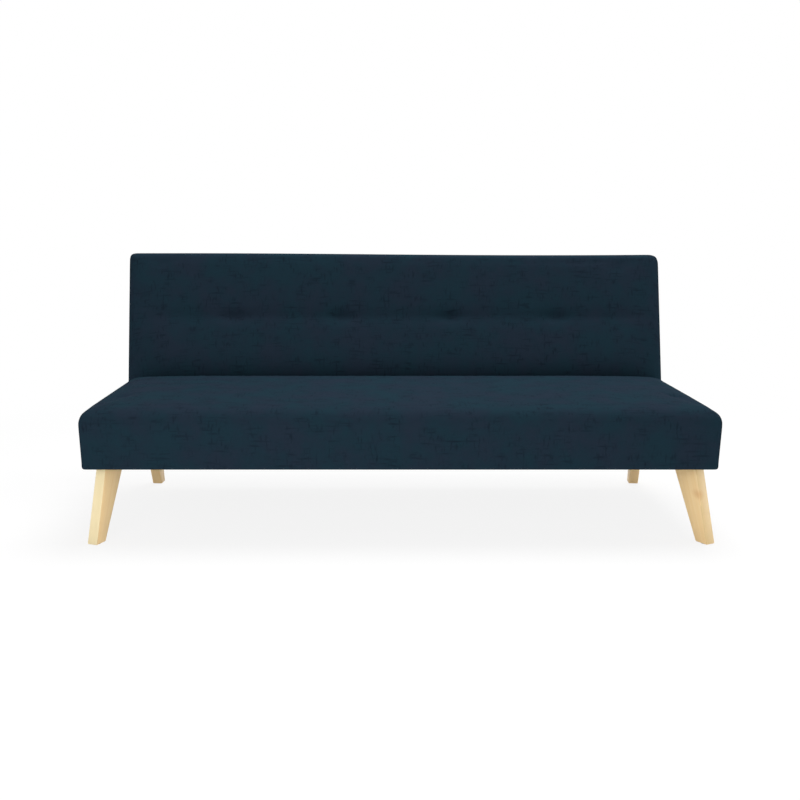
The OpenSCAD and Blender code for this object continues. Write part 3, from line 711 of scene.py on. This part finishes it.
board = start_block(
    "leg_board",
    Vector((-leg_top_w / 2, -leg_t / 2, glide_t)),
    Vector((leg_top_w / 2, leg_t / 2, seat_low.z)),
)
pick(board, "VERT", lambda corner: corner.co.z < leg_t)
bpy.ops.transform.resize(value=(leg_foot_w / leg_top_w, 1, 1))
bpy.ops.transform.translate(value=(-leg_rake, 0, 0))
bpy.ops.mesh.select_all(action="SELECT")
bpy.ops.mesh.bevel(offset=leg_edge_r, segments=leg_edge_steps, affect="EDGES")
divide(board, 2, 8)
bpy.ops.object.mode_set(mode="OBJECT")
bpy.ops.object.shade_smooth_by_angle(angle=math.radians(35))

# Rubberwood, planed along its grain under a thin matt lacquer: warm straw with faint long
# streaks 2 to 6 mm wide and fine pores, and a soft branch mark by the right front leg's
# outer edge. The narrow outer face of each front leg is painted in its own tone: paler on
# the left leg, as painted light where that face is lit, and darker on the right leg, as
# painted shade. Each board's whole tone is also scaled: partly real tone that differs from
# board to board, partly painted light, with the left front leg painted lighter and the
# rear legs painted darker, as painted shade under the seat.
mark = (-0.029, 0.014, 0.131)
leg_wood, shader = new_material("lacquered_rubberwood")
place = add(leg_wood, "ShaderNodeAttribute", {}, attribute_name="board").outputs["Vector"]
layers = []
for across, along, detail in ((170, 5, 3), (1500, 60, 2)):
    stretched = add(
        leg_wood, "ShaderNodeMapping", {"Vector": place, "Scale": (across, across, along)}
    )
    layers.append(add(
        leg_wood, "ShaderNodeTexNoise",
        {"Vector": stretched.outputs["Vector"], "Scale": 1, "Detail": detail,
         "Distortion": 0.4},
    ).outputs["Fac"])
grain = add(
    leg_wood, "ShaderNodeMath", {0: layers[1], 1: 0.25, 2: layers[0]},
    operation="MULTIPLY_ADD",
).outputs[0]
tone = ramp(
    leg_wood, grain,
    [(0.42, "#eecb92"), (0.62, "#f0cf98"), (0.84, "#f2d39f")],
)
# Painted light: each board's tone is scaled by its own factor, partly real tone and partly
# painted light and shade.
depth = add(leg_wood, "ShaderNodeAttribute", {}, attribute_name="shade").outputs["Fac"]
tone = add(
    leg_wood, "ShaderNodeVectorMath", {0: tone, "Scale": depth}, operation="SCALE"
).outputs["Vector"]
# Painted light and shade: the front legs' narrow outer faces get their own tone, paler on the
# left leg where it is lit, darker on the right leg.
face_light = add(leg_wood, "ShaderNodeAttribute", {}, attribute_name="face_light").outputs["Fac"]
on_painted_face = add(leg_wood, "ShaderNodeMath", {0: face_light, 1: 0.2}, operation="GREATER_THAN")
face_light_tone = ramp(leg_wood, face_light, [(0.4, "#dec08a"), (0.9, "#eddbae")])
tone = add(
    leg_wood, "ShaderNodeMix",
    {"Factor": on_painted_face.outputs[0], mix_a: tone, mix_b: face_light_tone}, data_type="RGBA",
).outputs[mix_result]
mark_scale = (0.8, 1, 1.2)
from_mark = [-at * scale for at, scale in zip(mark, mark_scale)]
around = add(
    leg_wood, "ShaderNodeMapping",
    {"Vector": place, "Location": from_mark, "Scale": mark_scale},
)
away = add(
    leg_wood, "ShaderNodeVectorMath", {0: around.outputs["Vector"]}, operation="LENGTH"
).outputs["Value"]
mark_r = 0.022
marked = add(
    leg_wood, "ShaderNodeMapRange",
    {"Value": away, "From Min": 0.001, "From Max": mark_r, "To Min": 0.45, "To Max": 0},
    interpolation_type="SMOOTHSTEP",
).outputs["Result"]
blended = add(
    leg_wood, "ShaderNodeMix", {"Factor": marked, mix_a: tone, mix_b: colour("#cf9258")},
    data_type="RGBA",
)
bump = add(
    leg_wood, "ShaderNodeBump", {"Height": layers[1], "Strength": 0.08, "Distance": 0.0004}
)
set_inputs(leg_wood, shader, {
    "Base Color": blended.outputs[mix_result], "Roughness": 0.45,
    "Normal": bump.outputs["Normal"],
})
# Painted light and shade on the front legs' narrow outer faces: 1 paints the left leg's face
# paler, as lit, and 0.4 paints the right leg's face darker, as shaded.
narrow_face_light = {"leg_front_left": 1, "leg_front_right": 0.4}
# Tone factors for front left, front right, rear left and rear right: partly real tone that
# differs by board, partly painted light, with the rear legs painted darker as painted shade
# under the seat and the front left lighter.
leg_tone_and_light = (1.10, 1.01, 0.90, 0.90)
for number, (name, place) in enumerate(leg_places.items()):
    leg = bpy.data.objects.new(name + "_board", board.data.copy())
    leg.data.name = leg.name
    bpy.context.scene.collection.objects.link(leg)
    leg.data.attributes.new("board", "FLOAT_VECTOR", "POINT")
    leg.data.attributes.new("face_light", "FLOAT", "POINT")
    leg.data.attributes.new("shade", "FLOAT", "POINT")
    cut = Vector((0.17, 0.31, 0.70)) * (number - 1)
    for i, corner in enumerate(leg.data.vertices):
        up = corner.co.z / seat_low.z
        across = corner.co.x + leg_rake * (1 - up)
        outer_edge = leg_edge_r / 2 - (leg_foot_w + (leg_top_w - leg_foot_w) * up) / 2
        leg.data.attributes["board"].data[i].vector = (
            Vector((across, corner.co.y, corner.co.z)) + cut
        )
        leg.data.attributes["shade"].data[i].value = leg_tone_and_light[number]
        if across < outer_edge:
            leg.data.attributes["face_light"].data[i].value = narrow_face_light.get(name, 0)
    leg.data.transform(at_leg(place))
    leg.data.materials.append(leg_wood)
    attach(leg, "base")
    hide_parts(name)
bpy.data.objects.remove(board)

# Glides: turned discs of black polyamide nailed under the feet, with a rounded rim.
glide_r = 0.011
plastic, shader = new_material("moulded_polyamide")
place = add(plastic, "ShaderNodeTexCoord", {}).outputs["Object"]
pebble = add(plastic, "ShaderNodeTexNoise", {"Vector": place, "Scale": 1200, "Detail": 2})
bump = add(
    plastic, "ShaderNodeBump",
    {"Height": pebble.outputs["Fac"], "Strength": 0.15, "Distance": 0.0003},
)
set_inputs(plastic, shader, {
    "Base Color": ramp(plastic, pebble.outputs["Fac"], [(0.3, "#141516"), (0.7, "#1e1f21")]),
    "Roughness": 0.45, "Normal": bump.outputs["Normal"],
})
bpy.ops.object.select_all(action="DESELECT")
bpy.ops.mesh.primitive_cylinder_add(
    vertices=40, radius=glide_r, depth=glide_t, location=(-leg_rake, 0, glide_t / 2)
)
glide = bpy.context.object
bpy.ops.object.transform_apply(location=True, rotation=True, scale=True)
bpy.ops.object.mode_set(mode="EDIT")
pick(glide, "EDGE", lambda edge: edge.calc_face_angle(0) > 1 and middle(edge).z < glide_t / 2)
bpy.ops.mesh.bevel(offset=glide_t * 0.6, segments=3, affect="EDGES")
bpy.ops.object.mode_set(mode="OBJECT")


def copy_to(name, model, matrices):
    """One piece made of a copy of the model at each place."""
    bpy.ops.object.select_all(action="DESELECT")
    for matrix in matrices:
        copy = bpy.data.objects.new(name, model.data.copy())
        copy.data.transform(matrix)
        bpy.context.scene.collection.objects.link(copy)
        copy.select_set(True)
        bpy.context.view_layer.objects.active = copy
    bpy.ops.object.join()
    piece = bpy.context.object
    piece.name = piece.data.name = name
    bpy.ops.object.shade_smooth_by_angle(angle=math.radians(40))
    bpy.data.objects.remove(model)
    return piece


glides = copy_to("leg_glides", glide, [at_leg(place) for place in leg_places.values()])
glides.data.materials.append(plastic)
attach(glides, "base")
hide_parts("foot_glides")

# --------------------------------------------------------------------------- chassis
# Square steel tube, cut, welded into a ladder and powder coated black. Its long edges are
# rounded from rolling, and its cut ends are open but for the plugs behind.
tube_corner_r = 0.003
tube_wall = 0.0015
tube_depth = 0.020

# Black powder coat on steel, baked: satin, with the fine orange peel of the melted
# powder. The peel's bumps are about 1 mm, and are drawn 2 mm so that they show.
painted, shader = new_material("black_powder_coated_steel")
place = add(painted, "ShaderNodeTexCoord", {}).outputs["Object"]
peel = add(painted, "ShaderNodeTexNoise", {"Vector": place, "Scale": 500, "Detail": 1})
dusty = add(painted, "ShaderNodeTexNoise", {"Vector": place, "Scale": 12, "Detail": 3})
bump = add(
    painted, "ShaderNodeBump",
    {"Height": peel.outputs["Fac"], "Strength": 0.2, "Distance": 0.0004},
)
set_inputs(painted, shader, {
    "Base Color": ramp(painted, dusty.outputs["Fac"], [(0.3, "#191a1c"), (0.7, "#232427")]),
    "Roughness": 0.42, "Normal": bump.outputs["Normal"],
})
for name, axis in (
    ("chassis_tube_left", 1), ("chassis_tube_right", 1), ("chassis_tube_front", 0),
    ("chassis_tube_middle", 0), ("chassis_tube_rear", 0),
):
    tube = start_block(name + "_rolled", *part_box(name))
    pick(tube, "EDGE", lambda edge: runs_along(edge, axis))
    bpy.ops.mesh.bevel(offset=tube_corner_r, segments=4, affect="EDGES")
    pick(tube, "FACE", lambda face: abs(face.normal[axis]) > 0.9)
    bpy.ops.mesh.inset(thickness=tube_wall, use_individual=True)
    bpy.ops.mesh.extrude_region_shrink_fatten(
        TRANSFORM_OT_shrink_fatten={"value": -tube_depth}
    )
    bpy.ops.object.mode_set(mode="OBJECT")
    bpy.ops.object.shade_smooth_by_angle(angle=math.radians(35))
    tube.data.materials.append(painted)
    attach(tube, "base")
    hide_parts(name)

# Fillet welds where the cross tubes meet the side tubes: one rippled bead on each face.
bead_r = 0.0025
bead_len = 0.024
bead_rings = 12
bpy.ops.object.select_all(action="DESELECT")
bpy.ops.mesh.primitive_cylinder_add(vertices=8, radius=bead_r, depth=bead_len)
bead = bpy.context.object
bpy.ops.object.mode_set(mode="EDIT")
divide(bead, 2, bead_rings)
ring_pitch = bead_len / bead_rings
pick(bead, "VERT", lambda corner: round(corner.co.z / ring_pitch + bead_rings / 2) % 2 == 0)
bpy.ops.transform.resize(value=(0.82, 0.82, 1))
bpy.ops.object.mode_set(mode="OBJECT")
bead_places = []
side_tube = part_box("chassis_tube_right")
for name in ("chassis_tube_front", "chassis_tube_middle", "chassis_tube_rear"):
    low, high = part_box(name)
    centre = (low + high) / 2
    for x in (low.x, high.x):
        for y in (low.y, high.y):
            bead_places.append(Matrix.Translation((x, y, centre.z)))
        for z in (low.z, high.z):
            bead_places.append(
                Matrix.Translation((x, centre.y, z)) @ Matrix.Rotation(math.pi / 2, 4, "X")
            )
welds = copy_to("chassis_welds", bead, bead_places)
welds.data.materials.append(painted)
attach(welds, "base")

# Plugs: black polyamide caps pressed into the side tubes' rear ends, with a domed face.
cap_t = 0.003
cap_rim = 0.004
cap_dome = 0.001
cap_low, cap_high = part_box("tube_end_caps")
cap = start_block(
    "tube_end_cap",
    Vector((side_tube[0].x, cap_high.y - cap_t, cap_low.z)),
    cap_high,
)
pick(cap, "FACE", lambda face: face.normal.y > 0.9)
bpy.ops.mesh.inset(thickness=cap_rim)
bpy.ops.transform.translate(value=(0, cap_dome, 0))
cap_side = cap_high.y - cap_t
pick(cap, "EDGE", lambda edge: edge.calc_face_angle(0) > 0.1 and middle(edge).y > cap_side)
bpy.ops.mesh.bevel(offset=0.001, segments=3, affect="EDGES")
bpy.ops.object.mode_set(mode="OBJECT")
across = Matrix.Translation((-cap_high.x - side_tube[0].x, 0, 0))
caps = copy_to("tube_end_plugs", cap, [Matrix.Identity(4), across])
caps.data.materials.append(plastic)
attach(caps, "base")
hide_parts("tube_end_caps")


def finish_nodes(material, *names):
    """Gives solids that keep their shape their finish."""
    for name in names:
        for material_slot in nodes[name].material_slots:
            material_slot.material = material


finish_nodes(painted, "leg_plates")

# ------------------------------------------------------------- hinges and fasteners
# Seat arms, backrest arms and pawls are blanked from steel plate, riveted and bolted up,
# and zinc plated and passivated like the nuts, bolts, clips and pins.
# Bright zinc on steel: a soft bluish grey metal with faint cloudy patches and fine
# scratches from the press.
zinc, shader = new_material("zinc_plated_steel")
place = add(zinc, "ShaderNodeTexCoord", {}).outputs["Object"]
clouds = add(zinc, "ShaderNodeTexNoise", {"Vector": place, "Scale": 45, "Detail": 4})
brushed = add(zinc, "ShaderNodeMapping", {"Vector": place, "Scale": (2500, 60, 2500)})
scratches = add(
    zinc, "ShaderNodeTexNoise", {"Vector": brushed.outputs["Vector"], "Scale": 1, "Detail": 1}
)
rough = add(
    zinc, "ShaderNodeMapRange",
    {"Value": clouds.outputs["Fac"], "From Min": 0.3, "From Max": 0.7, "To Min": 0.28,
     "To Max": 0.46},
)
bump = add(
    zinc, "ShaderNodeBump",
    {"Height": scratches.outputs["Fac"], "Strength": 0.08, "Distance": 0.0002},
)
set_inputs(zinc, shader, {
    "Base Color": ramp(zinc, clouds.outputs["Fac"], [(0.3, "#a9adb2"), (0.7, "#c3c7ca")]),
    "Metallic": 1, "Roughness": rough.outputs["Result"], "Normal": bump.outputs["Normal"],
})
finish_nodes(
    zinc, "leg_bolts", "chassis_bolts", "seat_screws", "seat_spring_clips",
    "back_spring_clips", "hinge_seat_arm_left", "hinge_seat_arm_right", "hinge_seat_bolts",
    "hinge_back_arm_left", "hinge_back_arm_right", "hinge_rivets", "hinge_back_bolts",
    "pawl_pins", "pawl_left", "pawl_right",
)

# ------------------------------------------------------------------ frame and springs
# Rails, braces and corner blocks of pine board, sawn and screwed, and zigzag springs of
# hard-drawn wire in clips, all inside the upholstery.
# Pine, rough sawn: yellow, with darker growth rings about 5 mm apart.
frame_wood, shader = new_material("sawn_pine")
place = add(frame_wood, "ShaderNodeTexCoord", {}).outputs["Object"]
stretched = add(frame_wood, "ShaderNodeMapping", {"Vector": place, "Scale": (6, 150, 150)})
rings = add(
    frame_wood, "ShaderNodeTexNoise",
    {"Vector": stretched.outputs["Vector"], "Scale": 1, "Detail": 3, "Distortion": 0.5},
)
bump = add(
    frame_wood, "ShaderNodeBump",
    {"Height": rings.outputs["Fac"], "Strength": 0.3, "Distance": 0.0005},
)
set_inputs(frame_wood, shader, {
    "Base Color": ramp(
        frame_wood, rings.outputs["Fac"],
        [(0.35, "#c29a5f"), (0.5, "#d8b67d"), (0.7, "#e3c998")],
    ),
    "Roughness": 0.75, "Normal": bump.outputs["Normal"],
})
finish_nodes(
    frame_wood, "seat_rail_front", "seat_rail_rear", "seat_rail_left", "seat_rail_right",
    "seat_braces", "corner_blocks", "back_rail_left", "back_rail_right", "back_rail_top",
    "back_rail_bottom", "back_brace",
)

# Hard-drawn spring wire with a film of oil: dark grey metal, streaked from the die.
wire, shader = new_material("oiled_spring_wire")
place = add(wire, "ShaderNodeTexCoord", {}).outputs["Object"]
film = add(wire, "ShaderNodeTexNoise", {"Vector": place, "Scale": 160, "Detail": 3})
bump = add(
    wire, "ShaderNodeBump",
    {"Height": film.outputs["Fac"], "Strength": 0.1, "Distance": 0.0002},
)
set_inputs(wire, shader, {
    "Base Color": ramp(wire, film.outputs["Fac"], [(0.3, "#5d6064"), (0.7, "#808489")]),
    "Metallic": 1, "Roughness": 0.38, "Normal": bump.outputs["Normal"],
})
finish_nodes(wire, "seat_springs", "back_springs", "pawl_springs")

# Needled felt of mixed waste fibres: grey, flecked and fuzzy.
felt, shader = new_material("needled_felt")
place = add(felt, "ShaderNodeTexCoord", {}).outputs["Object"]
flecks = add(felt, "ShaderNodeTexNoise", {"Vector": place, "Scale": 400, "Detail": 5})
bump = add(
    felt, "ShaderNodeBump",
    {"Height": flecks.outputs["Fac"], "Strength": 0.5, "Distance": 0.001},
)
set_inputs(felt, shader, {
    "Base Color": ramp(
        felt, flecks.outputs["Fac"], [(0.35, "#5f6164"), (0.5, "#8b8d8f"), (0.68, "#b4b2ab")]
    ),
    "Roughness": 1, "Normal": bump.outputs["Normal"],
})
finish_nodes(felt, "seat_felt", "back_felt")

# ------------------------------------------------------------- floor, light and camera
# A white studio floor that runs into a white backdrop, an even white dome, and four round
# soft lamps: one over the sofa, one in front and one at either end, the right one the
# stronger. The camera stands in front, a little to the left and looking down.
white = (1, 1, 1, 1)
backdrop_share = 0.86
shadow_reach = (1.4, 2.6)
floor_w = 40
bpy.ops.object.select_all(action="DESELECT")
bpy.ops.mesh.primitive_plane_add(size=floor_w)
floor = bpy.context.object
floor.name = "studio_floor"
floor_paint, shader = new_material("white_floor_paint")


def seen_directly(material):
    """1 on rays from the camera and on those that metal or glass sends on."""
    path = add(material, "ShaderNodeLightPath", {})
    mirrored = add(
        material, "ShaderNodeMath",
        {0: path.outputs["Is Glossy Ray"], 1: path.outputs["Is Transmission Ray"]},
        operation="MAXIMUM",
    )
    return add(
        material, "ShaderNodeMath",
        {0: path.outputs["Is Camera Ray"], 1: mirrored.outputs[0]}, operation="MAXIMUM",
    ).outputs[0]


# The floor keeps the sofa's shadow, and runs out into the plain backdrop all round it
place = add(floor_paint, "ShaderNodeTexCoord", {}).outputs["Object"]
away = add(
    floor_paint, "ShaderNodeVectorMath", {0: place}, operation="LENGTH"
).outputs["Value"]
evened = add(
    floor_paint, "ShaderNodeMapRange",
    {"Value": away, "From Min": shadow_reach[0], "From Max": shadow_reach[1],
     "To Min": backdrop_share, "To Max": 1},
    interpolation_type="SMOOTHSTEP",
).outputs["Result"]
share = add(
    floor_paint, "ShaderNodeMath", {0: seen_directly(floor_paint), 1: evened},
    operation="MULTIPLY",
)
matt = add(floor_paint, "ShaderNodeBsdfDiffuse", {"Color": (0.92, 0.92, 0.92, 1)})
glow = add(floor_paint, "ShaderNodeEmission", {"Color": white, "Strength": 1})
blended = add(
    floor_paint, "ShaderNodeMixShader",
    {0: share.outputs[0], 1: matt.outputs[0], 2: glow.outputs[0]},
)
floor_paint.node_tree.links.new(
    blended.outputs[0], floor_paint.node_tree.nodes["Material Output"].inputs["Surface"]
)
floor.data.materials.append(floor_paint)

world = bpy.data.worlds.new("studio")
bpy.context.scene.world = world
world.use_nodes = True
dome = world.node_tree.nodes["Background"]
dome.inputs["Color"].default_value = white
dome.inputs["Strength"].default_value = 0.3
backdrop = add(world, "ShaderNodeBackground", {"Color": white, "Strength": 1})
sky = add(
    world, "ShaderNodeMixShader",
    {0: seen_directly(world), 1: dome.outputs[0], 2: backdrop.outputs[0]},
)
world.node_tree.links.new(
    sky.outputs[0], world.node_tree.nodes["World Output"].inputs["Surface"]
)

lamps = {
    "front": ((-0.6, -2.8, 0.75), 2.2, 40),
    "top": ((0.5, 0.6, 3.6), 2.6, 150),
    "right": ((8, -1, 1), 2.0, 150),
    "left": ((-8, -1.5, 1), 2.0, 75),
}
aimed_at = Vector((0, 0, 0.3))
for name, (place, size, power) in lamps.items():
    lamp = bpy.data.lights.new(name, "AREA")
    lamp.shape = "DISK"
    lamp.size = size
    lamp.energy = power
    holder = bpy.data.objects.new(name, lamp)
    holder.location = place
    aim = aimed_at - Vector(place)
    holder.rotation_euler = aim.to_track_quat("-Z", "Y").to_euler()
    bpy.context.scene.collection.objects.link(holder)

looks_down = math.radians(9.545)
camera = bpy.data.cameras.new("camera")
camera.lens = 46.626
camera.shift_x = 0.0380
viewpoint = bpy.data.objects.new("camera", camera)
viewpoint.location = (-0.0797, -3.0284, 0.8354)
viewpoint.rotation_euler = (math.pi / 2 - looks_down, 0, 0)
bpy.context.scene.collection.objects.link(viewpoint)
bpy.context.scene.camera = viewpoint
bpy.context.scene.view_settings.view_transform = "Standard"
